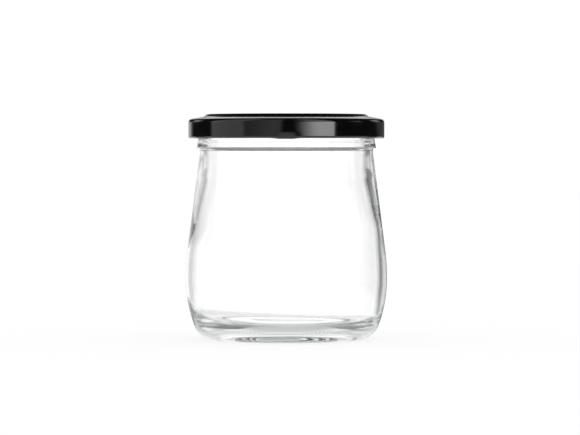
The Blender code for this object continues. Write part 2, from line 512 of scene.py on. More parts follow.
def face_outwards(mesh: bpy.types.Mesh) -> None:
    """Turns the faces of a closed mesh so that they point out of it."""
    shape = bmesh.new()
    shape.from_mesh(mesh)
    if shape.calc_volume(signed=True) < 0.0:
        bmesh.ops.reverse_faces(shape, faces=shape.faces)
        shape.to_mesh(mesh)
    loose = sum(1 for edge in shape.edges if len(edge.link_faces) != 2)
    shape.free()
    if loose:
        LOG.warning("%s has %d edges without two faces", mesh.name, loose)


def new_material(name: str) -> tuple[bpy.types.Material, bpy.types.Node]:
    """Makes a material with a Principled shader.

    Args:
        name: The material's name.

    Returns:
        The material and its shader.
    """
    material = bpy.data.materials.new(name)
    material.use_nodes = True
    return material, material.node_tree.nodes["Principled BSDF"]


def object_place(tree: bpy.types.NodeTree) -> bpy.types.NodeSocket:
    """The place on the piece, in its own metres."""
    return tree.nodes.new("ShaderNodeTexCoord").outputs["Object"]


def roughen(tree: bpy.types.NodeTree, shader: bpy.types.Node, height: Field, depth: float) -> None:
    """Adds relief too fine for the mesh.

    Args:
        tree: The material's node tree.
        shader: The material's Principled shader.
        height: The relief's shape.
        depth: The relief's height where the shape is 1.
    """
    bump = tree.nodes.new("ShaderNodeBump")
    bump.inputs["Strength"].default_value = 1.0
    bump.inputs["Distance"].default_value = depth
    height.feed(bump.inputs["Height"])
    tree.links.new(bump.outputs[0], shader.inputs["Normal"])


def mottle(
    tree: bpy.types.NodeTree, shader: bpy.types.Node, colour: Colour, tone: float, cloud: Field, fade: Fade
) -> None:
    """Lets a material's colour stray from place to place.

    Args:
        tree: The material's node tree.
        shader: The material's Principled shader.
        colour: The colour where the pattern is low.
        tone: How bright the colour is where the pattern is high, against the first.
        cloud: The pattern.
        fade: The pattern's values between which the one gives way to the other.
    """
    blend = tree.nodes.new("ShaderNodeMix")
    blend.data_type = "RGBA"
    blend.inputs[MIX_FIRST].default_value = (*colour, 1.0)
    blend.inputs[MIX_SECOND].default_value = (*(tone * part for part in colour), 1.0)
    cloud.climb(*fade).feed(blend.inputs[0])
    tree.links.new(blend.outputs[MIX_RESULT], shader.inputs["Base Color"])


@dataclass(frozen=True)
class ClearGlass:
    """Clear soda-lime glass, fire-polished, with the faint cool green of its thick places.

    Attributes:
        index: How strongly it bends light.
        tint: The colour that a long way through it takes on.
        depth: How quickly it does.
    """

    index: float = 1.52
    tint: Colour = (0.80, 0.83, 0.82)
    depth: float = 28.0

    def make(self) -> bpy.types.Material:
        """Makes the material."""
        material, shader = new_material("clear_glass_wall")
        shader.inputs["Base Color"].default_value = (1.0, 1.0, 1.0, 1.0)
        shader.inputs["Roughness"].default_value = 0.0
        shader.inputs["IOR"].default_value = self.index
        shader.inputs["Transmission Weight"].default_value = 1.0
        tree = material.node_tree
        body = tree.nodes.new("ShaderNodeVolumeAbsorption")
        body.inputs["Color"].default_value = (*self.tint, 1.0)
        body.inputs["Density"].default_value = self.depth
        tree.links.new(body.outputs[0], tree.nodes["Material Output"].inputs["Volume"])
        return material


@dataclass(frozen=True)
class BlackLacquer:
    """Gloss black lacquer stoved onto tinplate, with a fine orange peel.

    Attributes:
        colour: The lacquer's own colour.
        index: How strongly its surface mirrors, as a refractive index.
        gloss: Its mean roughness.
        haze: How far its roughness strays.
        haze_waves: The scale on which it does.
        haze_seed: Which pattern it follows.
        tone: How bright its brightest places are, against the colour.
        tone_fade: The pattern's values between which they lie.
        peel: How deep the orange peel is.
        peel_waves: The peel's scale.
        peel_seed: Which pattern the peel follows.
    """

    colour: Colour = (0.0014, 0.0014, 0.0016)
    index: float = 1.54
    gloss: float = 0.10
    haze: float = 0.035
    haze_waves: Waves = (60.0, 60.0, 60.0)
    haze_seed: float = 3.0
    tone: float = 1.7
    tone_fade: Fade = (-0.6, 0.8)
    peel: float = 0.0006 * MM
    peel_waves: Waves = (900.0, 900.0, 900.0)
    peel_seed: float = 7.0

    def make(self) -> bpy.types.Material:
        """Makes the material."""
        material, shader = new_material("black_lacquer_gloss")
        tree = material.node_tree
        place = object_place(tree)
        shader.inputs["IOR"].default_value = self.index
        cloud = noise(tree, place, self.haze_waves, self.haze_seed, detail=3.0)
        (cloud * self.haze + self.gloss).feed(shader.inputs["Roughness"])
        mottle(tree, shader, self.colour, self.tone, cloud, self.tone_fade)
        roughen(tree, shader, noise(tree, place, self.peel_waves, self.peel_seed, detail=1.0), self.peel)
        return material


@dataclass(frozen=True)
class PaleLining:
    """The pale food-safe lacquer inside the cap.

    Attributes:
        colour: The lacquer's colour.
        gloss: Its mean roughness.
        haze: How far its roughness strays.
        waves: The scale on which it does.
        seed: Which pattern it follows.
        tone: How bright its darkest places are, against the colour.
        tone_fade: The pattern's values between which they lie.
    """

    colour: Colour = (0.78, 0.77, 0.72)
    gloss: float = 0.3
    haze: float = 0.06
    waves: Waves = (45.0, 45.0, 45.0)
    seed: float = 11.0
    tone: float = 0.93
    tone_fade: Fade = (-0.5, 0.7)

    def make(self) -> bpy.types.Material:
        """Makes the material."""
        material, shader = new_material("pale_lining")
        tree = material.node_tree
        cloud = noise(tree, object_place(tree), self.waves, self.seed, detail=3.0)
        (cloud * self.haze + self.gloss).feed(shader.inputs["Roughness"])
        mottle(tree, shader, self.colour, self.tone, cloud, self.tone_fade)
        return material


@dataclass(frozen=True)
class SealingCompound:
    """The soft, pale, slightly waxy compound that the rim of the glass presses into.

    Attributes:
        colour: The compound's colour.
        gloss: Its mean roughness.
        haze: How far its roughness strays.
        waves: The scale on which it does.
        seed: Which pattern it follows.
        tone: How bright its darkest places are, against the colour.
        tone_fade: The pattern's values between which they lie.
        grain: How deep its relief is.
    """

    colour: Colour = (0.70, 0.69, 0.63)
    gloss: float = 0.5
    haze: float = 0.08
    waves: Waves = (220.0, 220.0, 220.0)
    seed: float = 5.0
    tone: float = 0.9
    tone_fade: Fade = (-0.5, 0.6)
    grain: float = 0.02 * MM

    def make(self) -> bpy.types.Material:
        """Makes the material."""
        material, shader = new_material("sealing_compound")
        tree = material.node_tree
        cloud = noise(tree, object_place(tree), self.waves, self.seed, detail=4.0)
        (cloud * self.haze + self.gloss).feed(shader.inputs["Roughness"])
        mottle(tree, shader, self.colour, self.tone, cloud, self.tone_fade)
        roughen(tree, shader, cloud, self.grain)
        return material


@dataclass(frozen=True)
class WallCurve:
    """One face of the jar's wall: a heel, a round belly, a straight cone and a hollow neck, smoothly joined.

    Attributes:
        base: Height that the heel leaves level.
        heel_bend: Radius of the heel's arc.
        lower_bend: Radius of the arc below the widest ring.
        belly_radius: Radius of the widest ring.
        belly_height: Height of the widest ring.
        upper_bend: Radius of the arc above the widest ring.
        cone_tilt: Lean of the straight cone, in degrees.
        neck_bend: Radius of the hollow arc into the neck.
        neck_radius: Radius of the neck.
    """

    base: float
    heel_bend: float
    lower_bend: float
    belly_radius: float
    belly_height: float
    upper_bend: float
    cone_tilt: float
    neck_bend: float
    neck_radius: float

    def arcs(self) -> list[Arc]:
        """Its arcs, from the base up: the heel, the belly's lower and upper sides, and the neck."""
        lower = (self.belly_radius - self.lower_bend, self.belly_height)
        reach = self.lower_bend - self.heel_bend
        drop = self.belly_height - self.base - self.heel_bend
        heel = (lower[0] + math.sqrt(reach**2 - drop**2), self.base + self.heel_bend)
        join = -math.degrees(math.asin(drop / reach))
        lean = math.radians(self.cone_tilt)
        upper_centre = (self.belly_radius - self.upper_bend, self.belly_height)
        upper = Arc(upper_centre, self.upper_bend, 0.0, self.cone_tilt)
        cone_start = upper.at(self.cone_tilt)
        cone_end_radius = self.neck_radius + self.neck_bend * (1.0 - math.cos(lean))
        rise = (cone_start[0] - cone_end_radius) / math.tan(lean)
        neck = (self.neck_radius + self.neck_bend, cone_start[1] + rise + self.neck_bend * math.sin(lean))
        return [
            Arc(heel, self.heel_bend, -90.0, join),
            Arc(lower, self.lower_bend, join, 0.0),
            upper,
            Arc(neck, self.neck_bend, 180.0 + self.cone_tilt, 180.0),
        ]


@dataclass(frozen=True)
class GlassRelief:
    """Where the rules of the glass work, and how strongly.

    Attributes:
        rib_reach: How far the ribs stand out.
        rib_half_width: Half of a rib's width, from top to bottom.
        rib_middle: Height of a rib's middle.
        rib_climb: How much a rib climbs from end to end.
        rib_half_span: Half of the angle that a rib takes up.
        rib_run_out: The angle over which its end runs out.
        rib_shift: The angle of the first rib's middle from the front.
        rib_root: How deep in the upright wall the ribs begin, and are whole.
        seam_height: How far the mould seams stand out.
        seam_half_width: Half of a seam's width.
        seam_shift: The angle of one of them from the front.
        seam_foot: Heights over which the seams begin.
        wave_depth: How deep the waves of the inner face are.
        wave_scale: The scale of those waves.
        wave_top: Heights over which they die out below the rim.
        ripple_depth: How deep the finer ripple of the outer face is.
        ripple_scale: The scale of the ripple.
        ripple_foot: Heights over which it begins.
        ripple_top: Heights over which it ends.
        shift: How far the inner face is set to the left in the lower half.
        shift_top: Heights over which it comes back to the middle above.
        shift_foot: Heights over which it comes back to the middle below.
        ledge_reach: How far the inner face stands in behind the bead.
        ledge_scale: The scale on which that strays.
        ledge_stray: How far it strays, and its mean share.
        ledge_foot: Heights over which it begins.
        ledge_top: Heights over which it ends.
        stipple_height: How deep the marks under the foot are.
        stipple_count: How many there are.
        stipple_ring: The radii between which they lie, and their fade.
        stipple_top: Heights over which they end.
        dip_depth: How deep the hollows in the inner floor are.
        dip_scale: Their scale.
        floor_edge: Radii over which they begin.
        floor_top: Heights over which they end.
        seed: Picks the patterns.
    """

    rib_reach: float = 1.35 * MM
    rib_half_width: float = 0.95 * MM
    rib_middle: float = 79.35 * MM
    rib_climb: float = 1.4 * MM
    rib_half_span: float = math.radians(19.0)
    rib_run_out: float = math.radians(6.0)
    rib_shift: float = math.radians(9.0)
    rib_root: Fade = (0.3 * MM, 0.01 * MM)
    seam_height: float = 0.05 * MM
    seam_half_width: float = 0.7 * MM
    seam_shift: float = math.radians(90.0)
    seam_foot: Fade = (1.0 * MM, 4.0 * MM)
    wave_depth: float = 0.07 * MM
    wave_scale: Waves = (55.0, 55.0, 32.0)
    wave_top: Fade = (81.0 * MM, 74.0 * MM)
    ripple_depth: float = 0.012 * MM
    ripple_scale: Waves = (90.0, 90.0, 60.0)
    ripple_foot: Fade = (3.0 * MM, 12.0 * MM)
    ripple_top: Fade = (80.5 * MM, 74.0 * MM)
    shift: float = 0.75 * MM
    shift_top: Fade = (46.0 * MM, 32.0 * MM)
    shift_foot: Fade = (3.0 * MM, 16.0 * MM)
    ledge_reach: float = 0.12 * MM
    ledge_scale: Waves = (75.0, 75.0, 160.0)
    ledge_stray: Fade = (0.5, 0.9)
    ledge_foot: Fade = (72.9 * MM, 74.7 * MM)
    ledge_top: Fade = (76.6 * MM, 74.9 * MM)
    stipple_height: float = 0.28 * MM
    stipple_count: float = 105.0
    stipple_ring: Band = (25.2 * MM, 28.0 * MM, 0.9 * MM)
    stipple_top: Fade = (0.6 * MM, 0.15 * MM)
    dip_depth: float = 0.12 * MM
    dip_scale: Waves = (70.0, 70.0, 70.0)
    floor_edge: Fade = (30.0 * MM, 24.0 * MM)
    floor_top: Fade = (12.0 * MM, 7.0 * MM)
    seed: float = 4.0


@dataclass
class JarGlass:
    """The jar's glass: a stippled foot, a round belly, a cone up to the neck, a bead and a ribbed mouth.

    Attributes:
        segments: Steps round the full turn.
        outside: The outer face of the wall, from the foot ring to the neck.
        inside: The inner face of the wall, from the floor to the mouth.
        relief: What the rules add to the turned shape.
        foot_inner_radius: Where the flat ring that it stands on begins.
        bead_height: Height of the bead's middle.
        bead_radius: How far the bead reaches.
        bead_bend: Radius of the bead's round.
        bead_under: How far the round goes under the bead, in degrees.
        bead_over: How far it goes over the bead, in degrees.
        bead_gap: How far below the bead the neck ends.
        recess_radius: Radius of the shallow step above the bead.
        recess_height: Height of that step.
        finish_radius: Radius of the upright wall round the mouth.
        finish_rise: How far above the step that wall begins.
        rim_height: Height of the rim.
        rim_outer_bend: Radius of the rim's outer edge.
        rim_inner_bend: Radius of the rim's inner edge.
        mouth_foot: Height at which the upright inner face of the mouth ends.
        floor_centre_height: Height of the inner floor in its middle.
        floor_steps: Steps from the edge of the floor to its middle.
        push_up_radius: Where the hollow under the foot reaches its roof.
        push_up_height: Height of that roof in its middle.
        push_up_sag: How much lower the roof is at its edge.
        push_up_steps: Steps from the middle of the roof to its edge.
        rib_count: How many ribs the lugs hook under.
        seam_count: How many mould seams there are.
        wall_step: The longest gap between the section's points on the wall.
        bead_step: The same above the bead.
        rim_step: The same on the rim.
        mouth_step: The same inside the mouth.
    """

    segments: int = 400
    outside: WallCurve = WallCurve(
        base=0.0,
        heel_bend=8.4 * MM,
        lower_bend=51.2 * MM,
        belly_radius=38.0 * MM,
        belly_height=23.0 * MM,
        upper_bend=84.0 * MM,
        cone_tilt=7.3,
        neck_bend=12.0 * MM,
        neck_radius=32.65 * MM,
    )
    inside: WallCurve = WallCurve(
        base=4.3 * MM,
        heel_bend=9.0 * MM,
        lower_bend=48.0 * MM,
        belly_radius=36.5 * MM,
        belly_height=23.0 * MM,
        upper_bend=95.0 * MM,
        cone_tilt=12.5,
        neck_bend=15.0 * MM,
        neck_radius=30.2 * MM,
    )
    relief: GlassRelief = GlassRelief()
    foot_inner_radius: float = 25.7 * MM
    bead_height: float = 72.45 * MM
    bead_radius: float = 33.8 * MM
    bead_bend: float = 0.4 * MM
    bead_under: float = 64.0
    bead_over: float = 28.0
    bead_gap: float = 0.05 * MM
    recess_radius: float = 33.4 * MM
    recess_height: float = 74.5 * MM
    finish_radius: float = 33.1 * MM
    finish_rise: float = 1.6 * MM
    rim_height: float = 82.15 * MM
    rim_outer_bend: float = 1.1 * MM
    rim_inner_bend: float = 0.9 * MM
    mouth_foot: float = 72.0 * MM
    floor_centre_height: float = 5.3 * MM
    floor_steps: int = 16
    push_up_radius: float = 22.4 * MM
    push_up_height: float = 2.7 * MM
    push_up_sag: float = 0.5 * MM
    push_up_steps: int = 9
    rib_count: int = 6
    seam_count: int = 2
    wall_step: float = 1.15 * MM
    bead_step: float = 0.25 * MM
    rim_step: float = 0.42 * MM
    mouth_step: float = 0.6 * MM

    def section(self) -> HalfSection:
        """The half section, from under the foot up the outside and down the inside to the floor."""
        walk = HalfSection(step=self.wall_step)
        self._under_foot(walk)
        for shape in self.outside.arcs():
            walk.arc(shape, Face.OUTER)
        self._round_mouth(walk)
        for shape in reversed(self.inside.arcs()):
            walk.arc(shape.back(), Face.INNER)
        self._over_floor(walk)
        return walk

    def _under_foot(self, walk: HalfSection) -> None:
        """Goes from the middle of the push-up's roof down to the foot ring."""
        for number in range(self.push_up_steps + 1):
            share = number / self.push_up_steps
            height = self.push_up_height - self.push_up_sag * share**2
            walk.add((share * self.push_up_radius, height), Face.OUTER)
        walk.ramp((self.foot_inner_radius, 0.0), Face.OUTER)

    def _round_mouth(self, walk: HalfSection) -> None:
        """Goes from the neck over the bead and the rim, and down inside the mouth."""
        mouth_radius = self.inside.neck_radius
        bead_centre = (self.bead_radius - self.bead_bend, self.bead_height)
        outer_centre = (self.finish_radius - self.rim_outer_bend, self.rim_height - self.rim_outer_bend)
        inner_centre = (mouth_radius + self.rim_inner_bend, self.rim_height - self.rim_inner_bend)
        walk.line((self.outside.neck_radius, self.bead_height - self.bead_bend - self.bead_gap), Face.OUTER)
        walk.arc(Arc(bead_centre, self.bead_bend, -self.bead_under, self.bead_over), Face.OUTER)
        walk.step = self.bead_step
        walk.swell((self.recess_radius, self.recess_height), Face.OUTER)
        walk.swell((self.finish_radius, self.recess_height + self.finish_rise), Face.OUTER)
        walk.step = self.rim_step
        walk.arc(Arc(outer_centre, self.rim_outer_bend, 0.0, 90.0), Face.OUTER)
        walk.arc(Arc(inner_centre, self.rim_inner_bend, 90.0, 180.0), Face.INNER)
        walk.step = self.mouth_step
        walk.line((mouth_radius, self.mouth_foot), Face.INNER)
        walk.step = self.wall_step

    def _over_floor(self, walk: HalfSection) -> None:
        """Goes from the edge of the inner floor over its low dome to the middle."""
        edge, base = walk.points[-1][0], self.inside.base
        half_rise = 0.5 * (self.floor_centre_height - base)
        for number in range(1, self.floor_steps + 1):
            share = 1.0 - number / self.floor_steps
            walk.add((share * edge, base + half_rise * (1.0 + math.cos(math.pi * share))), Face.INNER)

    def rules(self) -> TurningTree:
        """The tree that turns the section, raises the ribs and seams, and gives the wall its waves."""
        relief = self.relief
        tree = TurningTree(
            "turned_glass",
            self.segments,
            {
                "Rib reach": relief.rib_reach,
                "Rib half width": relief.rib_half_width,
                "Rib middle height": relief.rib_middle,
                "Rib climb": relief.rib_climb,
                "Seam height": relief.seam_height,
                "Stipple height": relief.stipple_height,
                "Wave depth": relief.wave_depth,
                "Ripple depth": relief.ripple_depth,
                "Ledge reach": relief.ledge_reach,
                "Wall shift": relief.shift,
                "Floor dip": relief.dip_depth,
                "Seed": relief.seed,
            },
        )
        out = self._ribs(tree) + self._seams(tree) + self._ripple(tree)
        out = out * tree.outer + self._inner_waves(tree) * tree.outer.less_from_one()
        tree.close(out, self._foot_and_floor(tree), {Face.OUTER: ClearGlass().make()})
        return tree

    def _ribs(self, tree: TurningTree) -> Field:
        """How far out the short climbing ribs round the mouth stand."""
        relief = self.relief
        place = tree.from_nearest(self.rib_count, relief.rib_shift)
        middle = place * tree.input("Rib climb") * (0.5 / relief.rib_half_span)
        middle = middle + tree.input("Rib middle height")
        across = ((tree.height - middle) / tree.input("Rib half width")).size()
        along = place.size().climb(relief.rib_half_span, relief.rib_half_span - relief.rib_run_out)
        upright = tree.radius.climb(*(self.finish_radius - depth for depth in relief.rib_root))
        return across.climb(*CREST) * along * upright * tree.input("Rib reach")

    def _seams(self, tree: TurningTree) -> Field:
        """How far out the mould seams at both sides stand."""
        aside = tree.from_nearest(self.seam_count, self.relief.seam_shift).size() * tree.radius
        seam = aside.climb(self.relief.seam_half_width, 0.0) * tree.input("Seam height")
        return seam * tree.height.climb(*self.relief.seam_foot)

    def _ripple(self, tree: TurningTree) -> Field:
        """How far out the outer face's fine ripple stands."""
        relief = self.relief
        pattern = tree.input("Seed") + Pattern.RIPPLE.value
        ripple = noise(tree.tree, tree.place, relief.ripple_scale, pattern, detail=0.0)
        return ripple * tree.input("Ripple depth") * tree.height.hump(relief.ripple_foot, relief.ripple_top)

    def _inner_waves(self, tree: TurningTree) -> Field:
        """How far out the inner face is moved: by waves, its shift aside and the ledge behind the bead."""
        relief = self.relief
        waves = noise(tree.tree, tree.place, relief.wave_scale, tree.input("Seed"), detail=1.0)
        out = waves * tree.input("Wave depth") * tree.height.climb(*relief.wave_top)
        lean = tree.height.hump(relief.shift_top, relief.shift_foot)
        out = out - lean * tree.input("Wall shift") * tree.turn.math("COSINE")
        stray, mean = relief.ledge_stray
        pattern = tree.input("Seed") + Pattern.LEDGE_STREAK.value
        streak = noise(tree.tree, tree.place, relief.ledge_scale, pattern, detail=1.0) * stray + mean
        ledge = streak * tree.height.hump(relief.ledge_foot, relief.ledge_top)
        return out - ledge * tree.input("Ledge reach")

    def _foot_and_floor(self, tree: TurningTree) -> Field:
        """How far up the marks under the foot and the uneven inner floor lie."""
        relief = self.relief
        mark = (tree.turn * relief.stipple_count).math("COSINE").less_from_one() * 0.5
        ring = tree.radius.between(*relief.stipple_ring) * tree.height.climb(*relief.stipple_top)
        stipple = mark * ring * tree.input("Stipple height") * tree.outer
        pattern = tree.input("Seed") + Pattern.FLOOR_DIP.value
        dip = noise(tree.tree, tree.place, relief.dip_scale, pattern, detail=1.0)
        floor = tree.radius.climb(*relief.floor_edge) * tree.height.climb(*relief.floor_top)
        return stipple + dip * tree.input("Floor dip") * floor * tree.outer.less_from_one()

    def build(self) -> bpy.types.Object:
        """Builds the glass and puts it in the place of its solid."""
        piece = self.rules().turn_piece("glass_body", self.section())
        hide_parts("jar_glass")
        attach(piece, "root")
        report(piece)
        return piece


@dataclass
class LugCap:
    """The black cap: a rolled edge with six pressed lugs, a low step and a raised top, lined and sealed.

    Attributes:
        segments: Steps round the full turn.
        seat_height: Height of the bottom of the rolled edge.
        radius: Radius over the skirt.
        sheet: Thickness of the metal.
        roll_radius: Radius of the rolled edge.
        roll_join: Where the roll's painted outside begins, in degrees from outwards towards upwards.
        shoulder_bend: Radius of the shoulder.
        shoulder_height: Height of the shoulder's top, above the seat.
        shoulder_slope: How much the shoulder's top rises towards the step.
        step_radius: Radius of the foot of the step.
        step_tilt: Lean of the step away from upright, in degrees.
        step_foot_bend: Radius of the hollow at the foot of the step.
        step_lining: How far inside the foot of the step the lining follows the top.
        crest_height: Height of the crest, above the seat.
        crest_bend: Radius of the crest.
        crest_end: Where the crest's round ends, in degrees.
        panel_radius: Radius of the sunk panel.
        panel_ease: How far inside that radius the panel is flat.
        panel_height: Height of the sunk panel, above the seat.
        button_radius: Radius of the safety button.
        button_ease: How far outside and inside that radius its edge begins and ends.
        button_rise: How far the button's edge stands above the panel.
        button_crown: How far its middle stands above its edge.
        button_steps: Steps from the button's edge to its middle.
        lug_count: How many lugs there are.
        lug_reach: How far a lug reaches inwards under the glass's ribs.
        lug_dimple: How far the outside of the roll is pressed in at a lug.
        lug_drop: How far a lug hangs below the roll.
        lug_half_span: Half of the angle that a lug takes up.
        lug_top: Heights over which a lug ends, in radii of the roll above the seat.
        dent_depth: How far the sheet strays from true.
        dent_scale: The scale on which it does.
        dent_edge: Radii over which it starts to stray outwards.
        dent_rise: How much of the straying goes upwards.
        seed: Picks the dents.
        step: The longest gap between the section's points.
        top_bend_step: The largest turn between the points of the top's arcs, in degrees.
        crest_step: The longest gap on the slope inside the crest.
        panel_step: The longest gap on the flat panel.
    """

    segments: int = 360
    seat_height: float = 75.8 * MM
    radius: float = 37.0 * MM
    sheet: float = 0.28 * MM
    roll_radius: float = 0.8 * MM
    roll_join: float = 200.0
    shoulder_bend: float = 1.45 * MM
    shoulder_height: float = 7.35 * MM
    shoulder_slope: float = 0.8 * MM
    step_radius: float = 31.0 * MM
    step_tilt: float = 50.0
    step_foot_bend: float = 0.5 * MM
    step_lining: float = 0.8 * MM
    crest_height: float = 9.12 * MM
    crest_bend: float = 0.6 * MM
    crest_end: float = 105.0
    panel_radius: float = 27.9 * MM
    panel_ease: float = 0.9 * MM
    panel_height: float = 8.6 * MM
    button_radius: float = 13.5 * MM
    button_ease: tuple[float, float] = (1.2 * MM, 0.6 * MM)
    button_rise: float = 0.3 * MM
    button_crown: float = 0.15 * MM
    button_steps: int = 6
    lug_count: int = 6
    lug_reach: float = 1.4 * MM
    lug_dimple: float = 0.2 * MM
    lug_drop: float = 0.35 * MM
    lug_half_span: float = math.radians(9.5)
    lug_top: Fade = (2.6, 1.5)
    dent_depth: float = 0.03 * MM
    dent_scale: Waves = (70.0, 70.0, 70.0)
    dent_edge: Fade = (20.0 * MM, 36.0 * MM)
    dent_rise: float = 0.5
    seed: float = 9.0
    step: float = 1.2 * MM
    top_bend_step: float = 15.0
    crest_step: float = 0.4 * MM
    panel_step: float = 2.4 * MM

    def _slope(self) -> float:
        """The angle of the shoulder's top, in degrees."""
        width = self.radius - self.shoulder_bend - self.step_radius
        return math.degrees(math.atan2(self.shoulder_slope, width))

    def section(self) -> HalfSection:
        """The half section: out along the underside, round the rolled edge and back over the top."""
        over = self._over()
        end = 90.0 - self._slope()
        top = self.seat_height + self.shoulder_height
        centre = (self.radius - self.shoulder_bend, top - self.shoulder_bend)
        walk = HalfSection(step=self.step)
        lining = [point for point in reversed(over) if point[0] < self.step_radius - self.step_lining]
        walk.add((0.0, lining[0][1] - self.sheet), Face.INNER)
        for radius, height in lining[1:]:
            walk.line((radius, height - self.sheet), Face.INNER)
        walk.line((self.step_radius - self.sheet, top + self.shoulder_slope - self.sheet), Face.INNER)
        walk.line((centre[0], top - self.sheet), Face.INNER)
        walk.arc(Arc(centre, self.shoulder_bend - self.sheet, end, 0.0), Face.INNER)
        self._roll(walk)
        walk.line((self.radius, centre[1]), Face.OUTER)
        walk.arc(Arc(centre, self.shoulder_bend, 0.0, end), Face.OUTER)
        for point in over:
            walk.line(point, Face.OUTER)
        return walk

    def _roll(self, walk: HalfSection) -> None:
        """Goes down inside the skirt and round its rolled edge."""
        centre = (self.radius - self.roll_radius, self.seat_height + self.roll_radius)
        inside = self.radius - self.sheet
        join = math.degrees(math.acos((inside - centre[0]) / self.roll_radius))
        walk.line((inside, Arc(centre, self.roll_radius, join, 0.0).at(join)[1]), Face.INNER)
        walk.arc(Arc(centre, self.roll_radius, join, self.roll_join), Face.OUTER)
        walk.arc(Arc(centre, self.roll_radius, self.roll_join, 360.0), Face.OUTER)

    def _over(self) -> list[Point]:
        """The top's outer face, from the foot of the step to the middle."""
        seat, tilt = self.seat_height, math.radians(self.step_tilt)
        panel, crest = seat + self.panel_height, seat + self.crest_height
        foot_centre = (
            self.step_radius + self.step_foot_bend * math.cos(tilt),
            seat + self.shoulder_height + self.shoulder_slope + self.step_foot_bend,
        )
        walk = HalfSection(step=self.step, bend_step=self.top_bend_step)
        foot = Arc(foot_centre, self.step_foot_bend, -90.0 - self._slope(), self.step_tilt - 180.0)
        walk.arc(foot, Face.OUTER)
        lean = (crest - self.crest_bend * (1.0 - math.sin(tilt)) - walk.points[-1][1]) * math.tan(tilt)
        crest_centre = (self.step_radius - lean - self.crest_bend * math.cos(tilt), crest - self.crest_bend)
        walk.arc(Arc(crest_centre, self.crest_bend, self.step_tilt, self.crest_end), Face.OUTER)
        walk.step = self.crest_step
        walk.ramp((self.panel_radius - self.panel_ease, panel), Face.OUTER)
        walk.step = self.panel_step
        walk.line((self.button_radius + self.button_ease[0], panel), Face.OUTER)
        walk.ramp((self.button_radius - self.button_ease[1], panel + self.button_rise), Face.OUTER)
        edge, height = walk.points[-1]
        for number in range(1, self.button_steps + 1):
            share = 1.0 - number / self.button_steps
            walk.add((share * edge, height + self.button_crown * (1.0 - share**2)), Face.OUTER)
        return walk.points

    def rules(self) -> TurningTree:
        """The tree that turns the section and presses the lugs out of the rolled edge."""
        tree = TurningTree(
            "turned_cap",
            self.segments,
            {
                "Lug reach": self.lug_reach,
                "Lug dimple": self.lug_dimple,
                "Lug drop": self.lug_drop,
                "Lug half span": self.lug_half_span,
                "Dent depth": self.dent_depth,
                "Seed": self.seed,
            },
        )
        above = tree.height - self.seat_height
        place = (tree.from_nearest(self.lug_count, 0.0) / tree.input("Lug half span")).size()
        share = place.climb(*CREST) * above.climb(*(radii * self.roll_radius for radii in self.lug_top))
        depth = ((tree.radius * -1.0 + self.radius) / (2.0 * self.roll_radius)).climb(0.0, 1.0)
        drop = (above / (2.0 * self.roll_radius)).less_from_one().math("MAXIMUM", 0.0)
        reach = tree.input("Lug dimple") + (tree.input("Lug reach") - tree.input("Lug dimple")) * depth
        wobble = noise(tree.tree, tree.place, self.dent_scale, tree.input("Seed"), detail=1.0)
        wobble = wobble * tree.input("Dent depth")
        out = share * reach * -1.0 + wobble * tree.radius.climb(*self.dent_edge)
        up = share * drop * tree.input("Lug drop") * -1.0 + wobble * self.dent_rise
        tree.close(out, up, {Face.OUTER: BlackLacquer().make(), Face.INNER: PaleLining().make()})
        return tree

    def build(self) -> bpy.types.Object:
        """Builds the cap and puts it in the place of its solid."""
        piece = self.rules().turn_piece("black_cap", self.section())
        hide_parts("lid")
        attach(piece, "root")
        report(piece)
        return piece


@dataclass
class SealRing:
    """The flat ring of sealing compound flowed into the cap's shoulder.

    Attributes:
        inner_radius: Radius of its inner edge.
        outer_radius: Radius of its outer edge.
        low: Height of its underside.
        high: Height of its top, against the cap.
        groove: How deep the rim of the glass has pressed into it.
        groove_width: How wide that groove is, as a share of the ring's half width.
        side_fullness: How full its round sides are, as a power of the cosine.
        top_fullness: How full its top and underside are, as a power of the sine.
        around: Points round its section.
        steps: Steps round the full turn.
    """

    inner_radius: float = 30.5 * MM
    outer_radius: float = 34.6 * MM
    low: float = 82.05 * MM
    high: float = 82.75 * MM
    groove: float = 0.22 * MM
    groove_width: float = 0.42
    side_fullness: float = 0.7
    top_fullness: float = 0.55
    around: int = 28
    steps: int = 240

    def _section_point(self, angle: float) -> Point:
        """The radius and height of the section's point at an angle."""
        middle = 0.5 * (self.inner_radius + self.outer_radius)
        half = 0.5 * (self.outer_radius - self.inner_radius)
        centre, thick = 0.5 * (self.low + self.high), 0.5 * (self.high - self.low)
        wide = math.copysign(abs(math.cos(angle)) ** self.side_fullness, math.cos(angle))
        tall = math.copysign(abs(math.sin(angle)) ** self.top_fullness, math.sin(angle))
        dent = self.groove * math.exp(-((wide / self.groove_width) ** 2)) if tall < 0.0 else 0.0
        return middle + half * wide, centre + thick * tall + dent

    def build(self) -> bpy.types.Object:
        """Builds the ring as one closed band."""
        shape = bmesh.new()
        ring: list[bmesh.types.BMVert] = []
        for number in range(self.around):
            radius, height = self._section_point(FULL_TURN * number / self.around)
            ring.append(shape.verts.new((radius, 0.0, height)))
        edges = [shape.edges.new((ring[n], ring[(n + 1) % self.around])) for n in range(self.around)]
        bmesh.ops.spin(
            shape,
            geom=ring + edges,
            cent=(0.0, 0.0, 0.0),
            axis=(0.0, 0.0, 1.0),
            angle=FULL_TURN,
            steps=self.steps,
            use_merge=True,
        )
        bmesh.ops.remove_doubles(shape, verts=shape.verts, dist=MERGE_GAP)
        bmesh.ops.recalc_face_normals(shape, faces=shape.faces)
        mesh = bpy.data.meshes.new("seal_ring")
        shape.to_mesh(mesh)
        shape.free()
        mesh.shade_smooth()
        mesh.materials.append(SealingCompound().make())
        face_outwards(mesh)
        piece = bpy.data.objects.new("seal_ring", mesh)
        bpy.context.scene.collection.objects.link(piece)
        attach(piece, "root")
        report(piece)
        return piece


